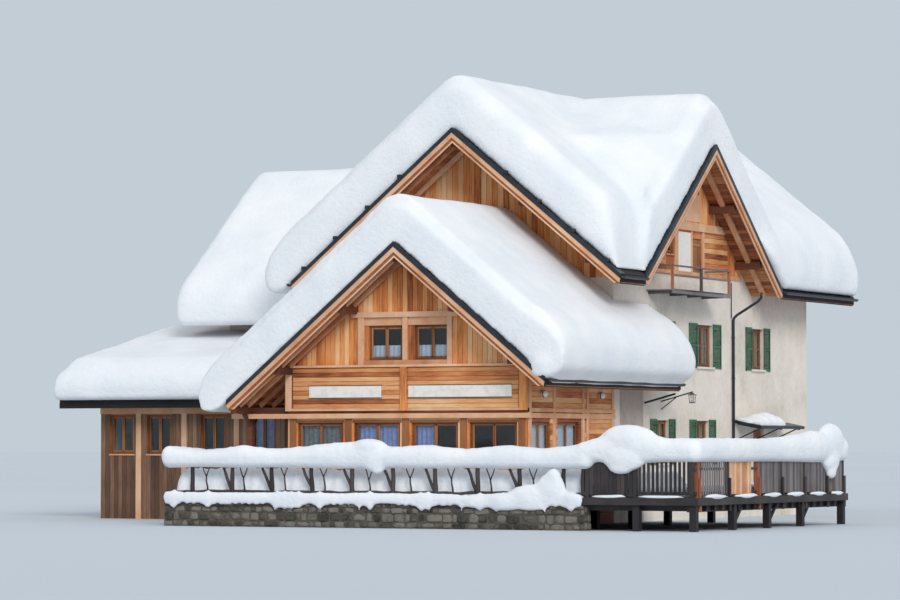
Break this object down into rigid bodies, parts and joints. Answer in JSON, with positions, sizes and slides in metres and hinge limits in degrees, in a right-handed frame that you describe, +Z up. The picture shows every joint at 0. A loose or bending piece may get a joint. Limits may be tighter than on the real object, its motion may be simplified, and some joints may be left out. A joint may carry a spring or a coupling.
{
  "type": "alpine chalet with timber gables, front wing, left wing, lean-to and terrace",
  "caption": "Snow-covered alpine chalet: stone main block with timber gables, a timber front wing, a lower left wing, a lean-to and a railed terrace.",
  "frame": {"origin": "middle of the footprint of the whole building, at the lowest ground line", "axes": "+Z up, +X to the right along the front gables, +Y back into the house"},
  "size_m": [26.53, 28.58, 14.3519],
  "materials": {
    "plaster": "matt, uneven trowelled lime plaster",
    "warm_timber": "satin, oiled larch boards weathered orange-brown",
    "pale_timber": "satin, pale planed larch",
    "roof_timber": "matt, reddish sawn boards",
    "floor_timber": "matt planed boards",
    "weathered_timber": "matt, grey-brown weathered round timber",
    "grey_slats": "matt, silvered sawn boards",
    "window_timber": "satin varnished timber",
    "green_paint": "satin green oil paint on timber",
    "window_glass": "clear float glass",
    "lamp_glass": "opal glass",
    "dark_metal": "satin, dark coated sheet",
    "white_board": "matt white painted board",
    "rubble_stone": "rough, dark rubble with mortar joints",
    "snow": "soft matt settled snow"
  },
  "bodies": {
    "root": {"main_front_wall": "plaster", "main_right_wall": "plaster", "main_left_wall": "plaster", "main_back_wall": "plaster", "main_gables": "warm_timber", "main_floors": "floor_timber", "main_roof": "roof_timber", "cross_gable_wall": "warm_timber", "cross_gable_roof": "roof_timber", "balcony": "pale_timber", "chimney": "plaster", "left_wing_side_walls": "plaster", "left_wing_end_wall": "plaster", "left_wing_roof": "roof_timber", "left_floors": "floor_timber", "annex_front_wall": "warm_timber", "annex_end_walls": "plaster", "annex_back_wall": "plaster", "annex_roof": "roof_timber", "front_wing_front_wall": "warm_timber", "front_wing_gable": "warm_timber", "front_wing_right_wall": "warm_timber", "front_wing_left_wall": "warm_timber", "front_wing_floors": "floor_timber", "front_wing_roof": "roof_timber", "parapet": "warm_timber", "sign_boards": "white_board", "porch": "roof_timber", "purlins": "roof_timber", "barge_boards": "pale_timber", "gutters": "dark_metal", "window_frames": "window_timber", "window_glass": "window_glass", "shutters": "green_paint", "doors": "window_timber", "canopy": "dark_metal", "lamps": "lamp_glass", "terrace_floor": "weathered_timber", "side_terrace_floor": "weathered_timber", "terrace_wall": "rubble_stone", "terrace_posts": "weathered_timber", "branch_railing": "weathered_timber", "slat_railing_front": "grey_slats", "slat_railing_side": "grey_slats", "main_roof_snow": "snow", "left_wing_snow": "snow", "annex_snow": "snow", "front_wing_snow": "snow", "terrace_snow": "snow"}
  },
  "joints": []
}
